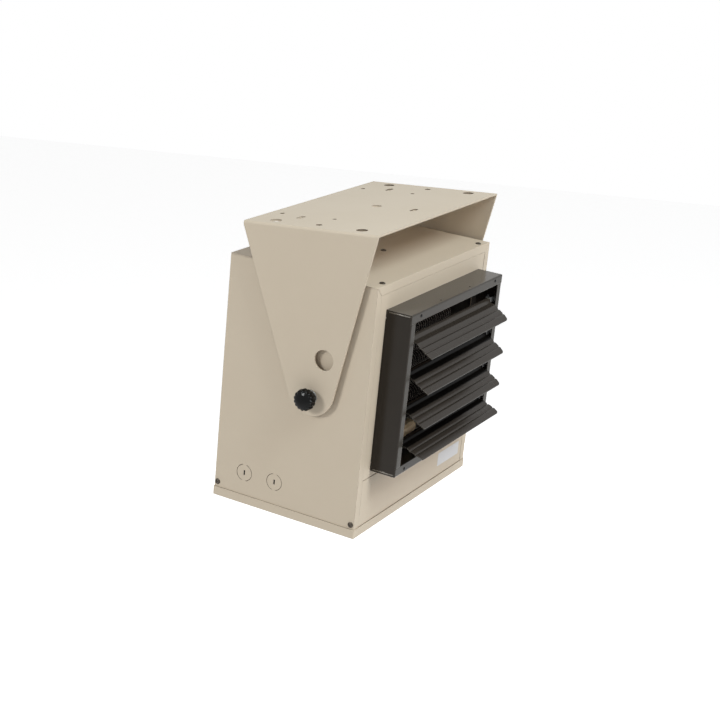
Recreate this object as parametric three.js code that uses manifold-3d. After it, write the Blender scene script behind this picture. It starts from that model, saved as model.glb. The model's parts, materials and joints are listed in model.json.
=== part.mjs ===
// Ceiling mounted fan heater: a sheet metal heater body that tilts in a U-shaped ceiling bracket.
// Millimetres, +Z up, louvers facing -Y. The origin lies on the ceiling plate's top face.
import * as THREE from 'three';
import { mergeVertices } from 'three/addons/utils/BufferGeometryUtils.js';
import Module from 'manifold-3d';

const wasm = await Module();
wasm.setup();

// Driving dimensions.
const SHEET = 1.2; // casing sheet
const GAP = 0.3; // running and seating gap
const CASE_W = 384.6; // casing width without the bottom pan's rim
const CASE_D = 256; // casing depth
const CASE_H = 400; // casing height with the bottom pan
const PIVOT_FROM_FRONT = 90; // tilt pivot behind the casing's front face
const PIVOT_FROM_BASE = 211.5; // tilt pivot above the underside
const TILT = 5.8; // nose-down angle of the casing as installed, degrees
const FLANGE = 14; // visible width of the folded casing edges
const PAN_H = 14; // height of the bottom pan
const CONTROL_H = 91; // height of the wiring compartment, up to the front seam
const SEAM = 1.6; // shadow gap between the front panels, and beside them on the right

const PLATE_D = 231; // ceiling plate, front to rear
const PLATE_T = 3; // bracket steel
const PLATE_HOLE_FROM_ORIGIN = 40; // the wiring hole and the pivot axis lie this far behind the origin
const PIVOT_DROP = 259; // tilt pivot below the ceiling plate's top face
const ARM_GAP = 8.3; // between the casing's side and the bracket arm
const ARM_TIP_R = 40; // rounded arm end

const FRAME_W = 318; // louver frame
const FRAME_H = 258;
const FRAME_D = 43.7;
const FRAME_FROM_TOP = 39; // frame's top edge below the casing's top
const FRAME_T = 1.4;
const LOUVER_COUNT = 4;
const LOUVER_CHORD = 46.9; // pivot to front edge
const LOUVER_PITCH = 56.3;
const LOUVER_TOP = 41.5; // topmost pivot below the frame's top edge
const LOUVER_SET = [31.5, 31, 29.2, 19.5]; // how far each blade hangs down, degrees
const PIN_R = 2.2; // louver pivot pins

const FAN_R = 118;
const FAN_BLADES = 5;
const FAN_ABOVE_PIVOT = 33;
const HUB_R = 28;
const SHAFT_R = 4;
const MOTOR_R = 41;
const MOTOR_L = 74;
const STRAP_W = 72;
const TUBE_R = 4.2; // heating element tube
const FIN_R = 13.5; // fins on the heating elements
const FIN_CLEAR = 2; // between the fins of neighbouring runs
const ELEMENT_COUNT = 4;
const SENSOR_R = 11.2;
const SENSOR_L = 58; // sensor body between its round ends

const KNOB_R = 18;
const STUD_R = 4; // tilt stud
const KNOCK_OUT_R = 14.1;
const POLE_PITCH = 15; // terminal block
const CONTACTOR_W = 46;
const CONTACTOR_H = 48;
const CONTACTOR_D = 34;

const RAD = Math.PI / 180;
const caseX = CASE_W / 2;
const front = -PIVOT_FROM_FRONT;
const rear = front + CASE_D;
const base = -PIVOT_FROM_BASE;
const top = base + CASE_H;
const panTop = base + PAN_H;
const seam = base + CONTROL_H;
const armIn = caseX + ARM_GAP;
const armOut = armIn + PLATE_T;
const studBore = STUD_R + 0.4; // washers, spacers and nuts
const studHole = STUD_R + 1.6; // arms and side panels
const shaftBore = SHAFT_R + GAP;

const group = new THREE.Group();
group.name = 'ceiling_mounted_fan_heater';
const heater = new THREE.Group();
heater.position.set(0, PLATE_HOLE_FROM_ORIGIN, -PIVOT_DROP);
heater.rotation.x = TILT * RAD;
group.add(heater);

const finish = {
  beige: { color: 0xc9bda6, roughness: 0.55, metalness: 0.1 },
  bronze: { color: 0x4c4741, roughness: 0.5, metalness: 0.25 },
  black: { color: 0x141414, roughness: 0.3, metalness: 0 },
  zinc: { color: 0xa9adb0, roughness: 0.35, metalness: 0.9 },
  element: { color: 0x26221f, roughness: 0.6, metalness: 0.6 },
  motor: { color: 0x2b2d30, roughness: 0.45, metalness: 0.4 },
  blade: { color: 0x9ea1a3, roughness: 0.4, metalness: 0.8 },
  ceramic: { color: 0xcdb994, roughness: 0.5, metalness: 0 },
  plastic: { color: 0x2f3133, roughness: 0.5, metalness: 0 },
};

// Solid helpers.
function solid(geometry) {
  const plain = geometry.clone();
  plain.deleteAttribute('normal');
  plain.deleteAttribute('uv');
  const merged = mergeVertices(plain, 1e-4);
  const mesh = new wasm.Mesh({
    numProp: 3,
    vertProperties: new Float32Array(merged.attributes.position.array),
    triVerts: new Uint32Array(merged.index.array),
  });
  return new wasm.Manifold(mesh);
}

function geometryOf(manifold) {
  const mesh = manifold.getMesh();
  const geometry = new THREE.BufferGeometry();
  geometry.setAttribute('position', new THREE.BufferAttribute(new Float32Array(mesh.vertProperties), 3));
  geometry.setIndex(new THREE.BufferAttribute(new Uint32Array(mesh.triVerts), 1));
  geometry.computeVertexNormals();
  return geometry;
}

function addPart(parent, name, shape, look) {
  const geometry = shape.isBufferGeometry ? shape : geometryOf(shape);
  const mesh = new THREE.Mesh(geometry, new THREE.MeshStandardMaterial(finish[look]));
  mesh.name = name;
  parent.add(mesh);
  return mesh;
}

function box(x0, x1, y0, y1, z0, z1) {
  const geometry = new THREE.BoxGeometry(x1 - x0, y1 - y0, z1 - z0);
  return solid(geometry.translate((x0 + x1) / 2, (y0 + y1) / 2, (z0 + z1) / 2));
}

function union(parts) {
  return parts.reduce((sum, part) => sum.add(part));
}

// Extrude a closed outline. The plane is 'xy', 'xz' or 'yz'; from and to are along the third axis.
function extrude(shape, plane, from, to, options = {}) {
  const settings = { depth: to - from, bevelEnabled: false, curveSegments: 12, ...options };
  const geometry = new THREE.ExtrudeGeometry(shape, settings);
  const depth = new THREE.Matrix4();
  if (plane === 'xy') depth.makeTranslation(0, 0, from);
  if (plane === 'xz') depth.makeRotationX(Math.PI / 2).setPosition(0, to, 0);
  if (plane === 'yz') depth.set(0, 0, 1, from, 1, 0, 0, 0, 0, 1, 0, 0, 0, 0, 0, 1);
  return solid(geometry.applyMatrix4(depth));
}

function outline(points) {
  return new THREE.Shape(points.map(([a, b]) => new THREE.Vector2(a, b)));
}

function roundedRect(a0, a1, b0, b1, r) {
  const shape = new THREE.Shape();
  shape.moveTo(a0 + r, b0);
  shape.lineTo(a1 - r, b0);
  shape.absarc(a1 - r, b0 + r, r, -Math.PI / 2, 0);
  shape.lineTo(a1, b1 - r);
  shape.absarc(a1 - r, b1 - r, r, 0, Math.PI / 2);
  shape.lineTo(a0 + r, b1);
  shape.absarc(a0 + r, b1 - r, r, Math.PI / 2, Math.PI);
  shape.lineTo(a0, b0 + r);
  shape.absarc(a0 + r, b0 + r, r, Math.PI, 1.5 * Math.PI);
  return shape;
}

// Round bar along an axis, from a to b, centred on the other two coordinates.
function rod(axis, radius, a, b, u = 0, v = 0, segments = 24) {
  const geometry = new THREE.CylinderGeometry(radius, radius, b - a, segments);
  geometry.translate(0, (a + b) / 2, 0);
  if (axis === 'x') geometry.rotateZ(-Math.PI / 2).translate(0, u, v);
  if (axis === 'y') geometry.translate(u, 0, v);
  if (axis === 'z') geometry.rotateX(Math.PI / 2).translate(u, v, 0);
  return solid(geometry);
}

// Turned piece. The profile is a list of [radius, along], starting and ending on the axis or closed.
function turned(profile, axis, u = 0, v = 0, segments = 32) {
  const points = profile.map(([r, h]) => new THREE.Vector2(r, h));
  if (THREE.ShapeUtils.area(points) < 0) points.reverse();
  const geometry = new THREE.LatheGeometry(points, segments);
  if (axis === 'x') geometry.rotateZ(-Math.PI / 2).translate(0, u, v);
  if (axis === 'y') geometry.translate(u, 0, v);
  return solid(geometry);
}

// A folded strip: offsets a path to both sides by half the sheet thickness.
function strip(path, thickness) {
  const left = [];
  const right = [];
  path.forEach(([a, b], i) => {
    const before = path[Math.max(i - 1, 0)];
    const after = path[Math.min(i + 1, path.length - 1)];
    const d1 = new THREE.Vector2(a - before[0], b - before[1]).normalize();
    const d2 = new THREE.Vector2(after[0] - a, after[1] - b).normalize();
    const along = d1.clone().add(d2).normalize();
    const reference = i === 0 ? d2 : d1;
    const stretch = Math.min(1 / Math.max(along.dot(reference), 0.4), 2.5);
    const side = new THREE.Vector2(-along.y, along.x).multiplyScalar((thickness / 2) * stretch);
    left.push([a + side.x, b + side.y]);
    right.push([a - side.x, b - side.y]);
  });
  return outline([...left, ...right.reverse()]);
}

// Bracket: a U of flat steel, seen from the front, trimmed to the arm outline seen from the side.
function mountingBracket() {
  const bend = 4;
  const low = -PIVOT_DROP - ARM_TIP_R - 20;
  const outer = roundedRect(-armOut, armOut, low - 50, 0, bend);
  const inner = roundedRect(-armIn, armIn, low - 60, -PLATE_T, bend - PLATE_T + 0.5);
  const few = { curveSegments: 3 };
  const y0 = PLATE_HOLE_FROM_ORIGIN - PLATE_D / 2;
  const y1 = PLATE_HOLE_FROM_ORIGIN + PLATE_D / 2;
  const bent = extrude(outer, 'xz', y0, y1, few).subtract(extrude(inner, 'xz', y0 - 1, y1 + 1, few));

  const tipZ = -PIVOT_DROP + 10;
  const half = PLATE_D / 2;
  const reach = Math.hypot(half, tipZ);
  const lean = Math.atan2(half, -tipZ) + Math.acos(ARM_TIP_R / reach);
  const side = new THREE.Shape();
  side.moveTo(y0, -PLATE_T * 2);
  side.absarc(PLATE_HOLE_FROM_ORIGIN, tipZ, ARM_TIP_R, Math.PI / 2 + lean, 2.5 * Math.PI - lean, false);
  side.lineTo(y1, -PLATE_T * 2);
  side.lineTo(y1, 1);
  side.lineTo(y0, 1);
  const bracket = bent.intersect(extrude(side, 'yz', -armOut - 1, armOut + 1, { curveSegments: 9 }));

  const hole = (r, x, y, segments = 12) => rod('z', r, -PLATE_T - 1, 1, x, PLATE_HOLE_FROM_ORIGIN + y, segments);
  const cuts = [hole(8, 0, 0, 16)];
  for (const sx of [-1, 1]) {
    cuts.push(hole(5, sx * 177, 0));
    cuts.push(hole(3.5, sx * 127, 2.5, 8));
    cuts.push(hole(4, sx * 127, 95, 8));
    cuts.push(hole(9, sx * 179, 73.6, 14));
    cuts.push(hole(9, sx * 179, -73.6, 14));
    const x = sx * 141;
    const y = PLATE_HOLE_FROM_ORIGIN + 53;
    const arm = [sx * armOut - 8, sx * armOut + 8];
    cuts.push(extrude(roundedRect(x - 10, x + 10, y - 4, y + 4, 3.9), 'xy', -PLATE_T - 1, 1, few));
    cuts.push(rod('x', studHole, ...arm, PLATE_HOLE_FROM_ORIGIN, -PIVOT_DROP, 14));
    cuts.push(rod('x', 16.3, ...arm, PLATE_HOLE_FROM_ORIGIN - 23.5, -PIVOT_DROP + 60.4, 24));
  }
  const slotY = PLATE_HOLE_FROM_ORIGIN - 66;
  cuts.push(extrude(roundedRect(-10, 10, slotY - 4, slotY + 4, 3.9), 'xy', -PLATE_T - 1, 1, few));
  return bracket.subtract(union(cuts));
}

// Side panel: web with flanges folded in at the front, rear and top, and knock-outs on the left side.
function sidePanel(side) {
  const flangeLow = base + SHEET + 0.4;
  const webTop = top - SHEET - GAP;
  const mitre = (y0, y1) => {
    const inner = caseX - FLANGE;
    const points = [
      [side * inner, flangeLow],
      [side * caseX, flangeLow],
      [side * caseX, webTop],
      [side * (caseX - 1), webTop],
      [side * inner, webTop - FLANGE + 1],
    ];
    return extrude(outline(side > 0 ? points : points.reverse()), 'xz', y0, y1);
  };
  const xs = (a, b) => (side > 0 ? [a, b] : [-b, -a]);
  const topFold = [front + SHEET + 0.6, rear - SHEET - 0.6, webTop - SHEET, webTop];
  const panel = union([
    box(...xs(caseX - SHEET, caseX), front, rear, flangeLow, webTop),
    mitre(front, front + SHEET),
    mitre(rear - SHEET, rear),
    box(...xs(caseX - FLANGE - 2, caseX - SHEET / 2), ...topFold),
  ]);
  const cuts = [rod('x', studHole, ...xs(caseX - 6, caseX + 6), 0, 0, 14)];
  if (side < 0) {
    for (const fromRear of [53.4, 109]) {
      cuts.push(knockOut(rear - fromRear, base + 51.5));
    }
  }
  return panel.subtract(union(cuts));
}

// Knock-out: two slits on a circle that leave tabs at the top and bottom, and a pry slot in the middle.
function knockOut(y, z) {
  const r = KNOCK_OUT_R;
  const width = 0.9;
  const tab = 14 * RAD;
  const tools = [box(-caseX - 3, -caseX + 3, y - 1.3, y + 1.3, z - 4, z + 4)];
  for (const start of [-Math.PI / 2, Math.PI / 2]) {
    const slit = new THREE.Shape();
    slit.absarc(y, z, r, start + tab, start + Math.PI - tab, false);
    slit.absarc(y, z, r - width, start + Math.PI - tab, start + tab, true);
    tools.push(extrude(slit, 'yz', -caseX - 3, -caseX + 3, { curveSegments: 7 }));
  }
  return union(tools);
}

// Top panel: a lid with mitred lips folded down at the front and rear.
function topPanel() {
  const lip = (y0, y1) => {
    const z = top - SHEET;
    return extrude(outline([
      [-caseX + FLANGE + 0.2, z - FLANGE + SHEET],
      [caseX - FLANGE - 0.2, z - FLANGE + SHEET],
      [caseX - 1.2, z + SHEET / 2],
      [-caseX + 1.2, z + SHEET / 2],
    ]), 'xz', y0, y1);
  };
  return union([
    box(-caseX, caseX, front, rear, top - SHEET, top),
    lip(front, front + SHEET),
    lip(rear - SHEET, rear),
  ]);
}

// A flat panel in the XZ plane with edges folded inwards. inward is +1 for the front, -1 for the rear.
function foldedPanel(x0, x1, z0, z1, yFace, inward, fold) {
  const y = (a, b) => (inward > 0 ? [yFace + a, yFace + b] : [yFace - b, yFace - a]);
  const shell = box(x0, x1, ...y(0, fold), z0, z1);
  return shell.subtract(box(x0 + SHEET, x1 - SHEET, ...y(SHEET, fold + 1), z0 + SHEET, z1 - SHEET));
}

const panelX = caseX - FLANGE - GAP;
const panelRight = caseX - FLANGE - SEAM;
const panelTop = top - FLANGE - GAP;
const frameTop = top - FRAME_FROM_TOP;
const frameLow = frameTop - FRAME_H;
const fanZ = FAN_ABOVE_PIVOT;

function upperFrontPanel() {
  const panel = foldedPanel(-panelX, panelRight, seam + SEAM / 2, panelTop, front, 1, 11);
  const margin = 13;
  const x = FRAME_W / 2 - margin;
  return panel.subtract(box(-x, x, front - 2, front + 4, frameLow + margin, frameTop - margin));
}

function lowerFrontPanel() {
  return foldedPanel(-panelX, panelRight, panTop + GAP, seam - SEAM / 2, front, 1, 11);
}

function rearPanel() {
  const panel = foldedPanel(-panelX, panelX, base + SHEET + 0.4, panelTop, rear, -1, 9);
  return panel.subtract(rod('y', FAN_R + 14, rear - 3, rear + 3, 0, fanZ, 40));
}

function bottomPan() {
  const x = caseX + GAP + SHEET;
  const y0 = front - GAP - SHEET;
  const y1 = rear + GAP + SHEET;
  const outer = extrude(roundedRect(-x, x, y0, y1, 2), 'xy', base, panTop, { curveSegments: 3 });
  const inner = roundedRect(-x + SHEET, x - SHEET, y0 + SHEET, y1 - SHEET, 0.8);
  return outer.subtract(extrude(inner, 'xy', base + SHEET, panTop + 1, { curveSegments: 3 }));
}

// Shelf between the heating chamber and the wiring compartment, with sides folded down.
function dividerShelf() {
  const z = seam + 1.8;
  const x = caseX - SHEET - 0.6;
  const y0 = front + 11.4;
  const y1 = rear - 9.4;
  const shelf = union([
    box(-x, x, y0, y1, z, z + SHEET),
    box(-x, -x + SHEET, y0 + 14, y1 - 14, z - 16, z + SHEET / 2),
    box(x - SHEET, x, y0 + 14, y1 - 14, z - 16, z + SHEET / 2),
  ]);
  return shelf.subtract(rod('z', 9, z - 4, z + 4, -150, 70, 12));
}

const shelfTop = seam + 1.8 + SHEET;

// Louver frame: C-section rails across the top and bottom, and stiles between them.
// The section runs inwards from the frame's edge and forwards from the casing; at() turns it.
function frameSection(at) {
  const r = 2;
  const d = FRAME_D - GAP;
  const t = FRAME_T;
  const shape = new THREE.Shape();
  shape.moveTo(...at(-FLANGE, -d));
  shape.lineTo(...at(-r, -d));
  shape.quadraticCurveTo(...at(0, -d), ...at(0, -d + r));
  shape.lineTo(...at(0, 0));
  shape.lineTo(...at(-11, 0));
  shape.lineTo(...at(-11, -t));
  shape.lineTo(...at(-t, -t));
  shape.lineTo(...at(-t, -d + r));
  shape.quadraticCurveTo(...at(-t, -d + t), ...at(-r, -d + t));
  shape.lineTo(...at(-FLANGE, -d + t));
  shape.closePath();
  return shape;
}

function frameRail(upper) {
  const z = upper ? frameTop : frameLow;
  const up = upper ? 1 : -1;
  const section = frameSection((inset, depth) => [front - GAP + depth, z + up * inset]);
  return extrude(section, 'yz', -FRAME_W / 2, FRAME_W / 2, { curveSegments: 3 });
}

const louverY = front - FRAME_D + 12;
const louverZ = (index) => frameTop - LOUVER_TOP - index * LOUVER_PITCH;

function frameStile(side) {
  const z0 = frameLow + FLANGE + GAP;
  const z1 = frameTop - FLANGE - GAP;
  const section = () => frameSection((inset, depth) => [side * inset, depth]);
  const faceEnd = extrude(section(), 'xy', z0, z1, { curveSegments: 3 });
  const tongue = extrude(section(), 'xy', frameLow + FRAME_T + GAP, frameTop - FRAME_T - GAP,
    { curveSegments: 3 });
  const d = FRAME_D - GAP;
  const inside = box(-20, 20, -d + FRAME_T + GAP, -FRAME_T - GAP, frameLow, frameTop);
  const stile = union([faceEnd, tongue.intersect(inside)]);
  return stile.translate([side * (FRAME_W / 2), front - GAP, 0]);
}

// Louver blade: a ribbed strip with a rolled rear edge, end ears and pivot pins, as one piece.
function louver() {
  const c = LOUVER_CHORD;
  const path = [
    [0.06 * c, -0.055 * c],
    [0.075 * c, 0.035 * c],
    [0.04 * c, 0.075 * c],
    [-0.005 * c, 0.07 * c],
    [-0.13 * c, -0.002 * c],
    [-0.21 * c, 0.045 * c],
    [-0.36 * c, 0.03 * c],
    [-0.395 * c, -0.012 * c],
    [-0.43 * c, 0.03 * c],
    [-0.6 * c, 0.032 * c],
    [-0.635 * c, -0.01 * c],
    [-0.67 * c, 0.03 * c],
    [-0.98 * c, 0.012 * c],
    [-c, -0.03 * c],
  ];
  const half = FRAME_W / 2 - 20;
  const blade = extrude(strip(path, 1.1), 'yz', -half, half);
  const corner = outline([
    [half + 1, -c - 1],
    [half + 1, -c + 5],
    [half - 5, -c - 1],
  ]);
  const cuts = [];
  for (const side of [-1, 1]) {
    const trim = corner.getPoints().map((p) => [side * p.x, p.y]);
    cuts.push(extrude(outline(side > 0 ? trim : trim.reverse()), 'xy', -10, 10));
  }
  const parts = [blade.subtract(union(cuts))];
  for (const side of [-1, 1]) {
    const ear = new THREE.Shape();
    ear.moveTo(0.085 * c, -0.05 * c);
    ear.lineTo(0.07 * c, 0.05 * c);
    ear.lineTo(0, 0.08 * c);
    ear.lineTo(-0.14 * c, 0.005 * c);
    ear.lineTo(-0.1 * c, -0.09 * c);
    ear.lineTo(0.02 * c, -0.1 * c);
    const [a, b] = side > 0 ? [half - 1.2, half] : [-half, -half + 1.2];
    parts.push(extrude(ear, 'yz', a, b));
    const pinEnd = FRAME_W / 2 - FRAME_T - 2 * GAP;
    const [p, q] = side > 0 ? [half - 1.2, pinEnd] : [-pinEnd, -half + 1.2];
    parts.push(rod('x', PIN_R, p, q, 0, 0, 8));
  }
  return union(parts);
}

// Friction clip: a hat-shaped spring leaf between a blade's ear and the frame stile.
function pivotClip(side) {
  const wall = FRAME_W / 2 - FRAME_T - GAP;
  const inner = FRAME_W / 2 - 18;
  const path = [
    [wall - 0.5, -9],
    [wall - 0.5, -5.5],
    [inner + 0.5, -4],
    [inner + 0.5, 4],
    [wall - 0.5, 5.5],
    [wall - 0.5, 9],
  ];
  const shape = strip(path, 0.9);
  const leaf = extrude(shape, 'xy', -4, 4);
  const bored = leaf.subtract(rod('x', PIN_R + GAP, inner - 3, inner + 3, 0, 0, 8));
  return side > 0 ? bored : bored.mirror([1, 0, 0]);
}

// Rear wire guard: concentric rings welded to crossed bars, with four fixing eyes.
function rearGuard() {
  const ringY = rear + GAP + 2;
  const wires = [];
  const outerR = FAN_R + 20;
  for (let i = 0; i < 4; i += 1) {
    const r = outerR - i * (outerR / 4.5);
    const ring = new THREE.TorusGeometry(r, 1.6, 4, 27 - 3 * i);
    wires.push(solid(ring.rotateX(Math.PI / 2).translate(0, ringY, fanZ)));
  }
  for (let i = 0; i < 3; i += 1) {
    const bar = new THREE.CylinderGeometry(1.8, 1.8, 2 * outerR + 1, 4);
    bar.rotateX(Math.PI / 2).rotateY((i * Math.PI) / 3);
    wires.push(solid(bar.translate(0, ringY + 2.3, fanZ)));
  }
  for (let i = 0; i < 4; i += 1) {
    const angle = (i + 0.5) * (Math.PI / 2);
    const x = (outerR + 3) * Math.cos(angle);
    const z = fanZ + (outerR + 3) * Math.sin(angle);
    wires.push(rod('y', 6, rear + GAP, rear + GAP + 3, x, z, 8));
  }
  return union(wires);
}

// Fan shroud: a rolled inlet ring behind the rear panel's opening.
function fanShroud() {
  const lip = FAN_R + 20;
  const throat = FAN_R + 5;
  const y = rear - SHEET - GAP;
  const t = 1.5;
  const profile = [
    [lip, y - t],
    [lip, y],
    [throat + 9, y],
    [throat + 2.4, y - 4],
    [throat, y - 12],
    [throat, y - 38],
    [throat + t, y - 38],
    [throat + t, y - 12],
    [throat + 3.5, y - 5],
    [throat + 9, y - t],
    [lip, y - t],
  ];
  return turned(profile, 'y', 0, fanZ, 24);
}

const fanY = rear - 30;

// Fan rotor: pitched, cambered blades lofted from a gridded box, on a hub with a domed nose.
function fanRotor() {
  const hub = turned([
    [0, fanY + 14],
    [HUB_R - 10, fanY + 13],
    [HUB_R - 2, fanY + 9],
    [HUB_R, fanY + 4],
    [HUB_R, fanY - 13],
    [0, fanY - 13],
  ], 'y', 0, fanZ, 20);
  const parts = [hub];
  for (let i = 0; i < FAN_BLADES; i += 1) {
    const blade = new THREE.BoxGeometry(1, 1, 1, 5, 3, 1);
    const position = blade.attributes.position;
    for (let k = 0; k < position.count; k += 1) {
      const s = position.getX(k) + 0.5;
      const v = position.getY(k);
      const w = position.getZ(k);
      const root = HUB_R - 4;
      const r = root + (FAN_R - root) * s;
      const chord = 40 + 42 * s - 14 * s * s * s * s * (1 + 2 * v * v);
      const pitch = (34 - 12 * s) * RAD;
      const camber = (0.25 - v * v) * 8;
      const across = v * chord;
      const turn = (across * Math.cos(pitch)) / r + 0.25 * s * s + (i * 2 * Math.PI) / FAN_BLADES;
      const y = fanY + across * Math.sin(pitch) * 0.8 + camber * (0.4 + 0.6 * s) - 2 + w * 1.4;
      position.setXYZ(k, r * Math.sin(turn), y, fanZ + r * Math.cos(turn));
    }
    parts.push(solid(blade));
  }
  return union(parts).subtract(rod('y', shaftBore, fanY - 20, fanY + 8, 0, fanZ, 14));
}

const motorY0 = fanY - 13 - 20 - MOTOR_L;

function motorParts() {
  const r = MOTOR_R;
  const y0 = motorY0;
  const y1 = y0 + MOTOR_L;
  const shell = turned([
    [0, y0 + 16 + GAP],
    [r, y0 + 16 + GAP],
    [r, y1 - 16 - GAP],
    [0, y1 - 16 - GAP],
  ], 'y', 0, fanZ, 24);
  const grooves = [];
  for (let i = 0; i < 8; i += 1) {
    const angle = (i + 0.5) * (Math.PI / 4);
    const x = (r + 0.5) * Math.cos(angle);
    const z = fanZ + (r + 0.5) * Math.sin(angle);
    grooves.push(rod('y', 2.4, y0 + 24, y1 - 24, x, z, 6));
  }
  const nearBell = turned([
    [0, y0],
    [20, y0],
    [22, y0 + 4],
    [r - 5, y0 + 6],
    [r + 1, y0 + 11],
    [r + 1, y0 + 16],
    [0, y0 + 16],
  ], 'y', 0, fanZ, 20);
  const farBell = turned([
    [shaftBore, y1 - 16],
    [r + 1, y1 - 16],
    [r + 1, y1 - 11],
    [r - 5, y1 - 6],
    [18, y1 - 3],
    [14, y1 + 3],
    [shaftBore, y1 + 3],
    [shaftBore, y1 - 16],
  ], 'y', 0, fanZ, 20);
  const shaft = rod('y', SHAFT_R, y1 - 15, fanY + 6, 0, fanZ, 12);
  const collar = turned([
    [shaftBore, fanY - 22],
    [SHAFT_R + 5, fanY - 22],
    [SHAFT_R + 5, fanY - 13 - GAP],
    [shaftBore, fanY - 13 - GAP],
    [shaftBore, fanY - 22],
  ], 'y', 0, fanZ, 16);
  return { shell: shell.subtract(union(grooves)), nearBell, farBell, shaft, collar };
}

// Motor strap: upright strip from the shelf to the top panel with a foot at each end.
function motorStrap() {
  const y = motorY0 - GAP - 1;
  const low = shelfTop + GAP + 1;
  const high = top - SHEET - GAP - 1;
  const path = [
    [y + 26, low],
    [y, low],
    [y, high],
    [y + 26, high],
  ];
  const strap = extrude(strip(path, 2), 'yz', -STRAP_W / 2, STRAP_W / 2);
  const x = STRAP_W / 4;
  const fromMotor = MOTOR_R + 5;
  const fromEnd = 16;
  const lightening = [
    roundedRect(-x, x, low + fromEnd, fanZ - fromMotor, 8),
    roundedRect(-x, x, fanZ + fromMotor, high - fromEnd, 8),
  ].map((window) => extrude(window, 'xz', y - 3, y + 3, { curveSegments: 2 }));
  return strap.subtract(union(lightening)).subtract(rod('y', 12, y - 3, y + 3, 0, fanZ, 12));
}

const elementY = front + 48;
const elementX = caseX - 27;
const runGap = 2 * FIN_R + FIN_CLEAR;
const elementZ = (run) => (run - (2 * ELEMENT_COUNT - 1) / 2) * runGap + fanZ - 8;

// Heating element: a hairpin tube whose two runs carry fins, turned from a comb profile.
function heatingElement(index) {
  const r = TUBE_R;
  const runs = [elementZ(2 * index), elementZ(2 * index + 1)];
  const x0 = -caseX + 12;
  const x1 = elementX - 4;
  const parts = [];
  const finned = FRAME_W / 2 - 8;
  const count = 5;
  const step = (2 * finned) / count;
  for (const z of runs) {
    const profile = [[0, x0], [r, x0]];
    for (let i = 0; i < count; i += 1) {
      const x = -finned + (i + 0.5) * step;
      profile.push([r, x - 0.8], [FIN_R, x], [r, x + 0.8]);
    }
    profile.push([r, x1], [0, x1]);
    parts.push(turned(profile, 'x', elementY, z, 8));
  }
  parts.push(hairpinBend(r).translate([x1 - 0.5, elementY, (runs[0] + runs[1]) / 2]));
  return union(parts);
}

// Half ring in the XZ plane: a circle swept along a half circle.
function hairpinBend(r) {
  const radius = runGap / 2;
  const points = [];
  for (let i = 0; i <= 8; i += 1) {
    const angle = -Math.PI / 2 + (i * Math.PI) / 8;
    points.push(new THREE.Vector3(radius * Math.cos(angle), 0, radius * Math.sin(angle)));
  }
  const curve = new THREE.CatmullRomCurve3(points);
  const circle = new THREE.Shape();
  circle.absarc(0, 0, r, 0, 2 * Math.PI);
  return solid(new THREE.ExtrudeGeometry(circle, { extrudePath: curve, steps: 7, curveSegments: 4 }));
}

// Upright channel that carries the element ends. Its legs point away from the air stream.
function elementUpright(side) {
  const x = elementX - 10;
  const path = [
    [side * (x + 11), front + 12.4],
    [side * x, front + 12.4],
    [side * x, elementY + 24],
    [side * (x + 11), elementY + 24],
  ];
  const upright = extrude(strip(path, 1.2), 'xy', shelfTop + GAP, top - SHEET - 15);
  const holes = [];
  for (let run = 0; run < 2 * ELEMENT_COUNT; run += 1) {
    const xs = side > 0 ? [x - 4, x + 4] : [-x - 4, -x + 4];
    holes.push(rod('x', TUBE_R + 0.4, ...xs, elementY, elementZ(run), 8));
  }
  return upright.subtract(union(holes));
}

// Cross rail low in the outlet that carries the limit sensor.
function sensorRail() {
  const x = elementX - 10 - 1.2;
  const z = frameLow + 4.5;
  const path = [
    [front + 5, z - 8],
    [front + 5, z],
    [front + 21, z],
    [front + 21, z - 8],
  ];
  return extrude(strip(path, 1.2), 'yz', -x, x);
}

function limitSensor() {
  const z = frameLow + 27.5;
  const y = front + 13;
  const body = new THREE.CapsuleGeometry(SENSOR_R, SENSOR_L, 4, 12);
  body.rotateZ(Math.PI / 2).translate(-40, y, z);
  const foot = box(-52, -28, y - 5, y + 5, frameLow + 4.5 + 0.6 + GAP, z - 4);
  return union([solid(body), foot]);
}

// Wiring compartment.
const controlY = front + 130;

function controlPlate() {
  const z0 = base + 8;
  const z1 = seam + 1.8 - GAP - 0.6;
  const path = [
    [controlY + 20, z1],
    [controlY, z1],
    [controlY, z0],
  ];
  return extrude(strip(path, 1.2), 'yz', -120, 120);
}

function terminalBlock() {
  const y = controlY - 0.6 - GAP;
  const z = base + 46;
  const poles = 4;
  const pitch = POLE_PITCH;
  const x0 = -104;
  const parts = [box(x0, x0 + poles * pitch + 2.5, y - 10, y, z - 14, z + 14)];
  for (let i = 0; i <= poles; i += 1) {
    parts.push(box(x0 + i * pitch, x0 + i * pitch + 2.5, y - 20, y - 9, z - 14, z + 14));
  }
  for (let i = 0; i < poles; i += 1) {
    const x = x0 + i * pitch + 2.5 + (pitch - 2.5) / 2;
    for (const dz of [-8, 8]) {
      parts.push(rod('y', 3.4, y - 13, y - 9, x, z + dz, 6));
    }
  }
  return union(parts);
}

function contactor() {
  const y = controlY - 0.6 - GAP;
  const z = base + 48;
  const x = 6;
  const w = CONTACTOR_W / 2;
  const h = CONTACTOR_H / 2;
  const coil = y - CONTACTOR_D;
  const parts = [
    box(x - w - 4, x + w + 4, y - 4, y, z - h - 6, z + h + 6),
    box(x - w, x + w, coil, y - 3, z - h, z + h),
    box(x - w + 8, x + w - 8, coil - 10, coil + 1, z - h + 10, z + h - 10),
  ];
  for (const dx of [-14, 0, 14]) {
    parts.push(box(x + dx - 4, x + dx + 4, coil + 10, coil + 24, z - h - 4, z + h + 4));
  }
  return union(parts);
}

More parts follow.
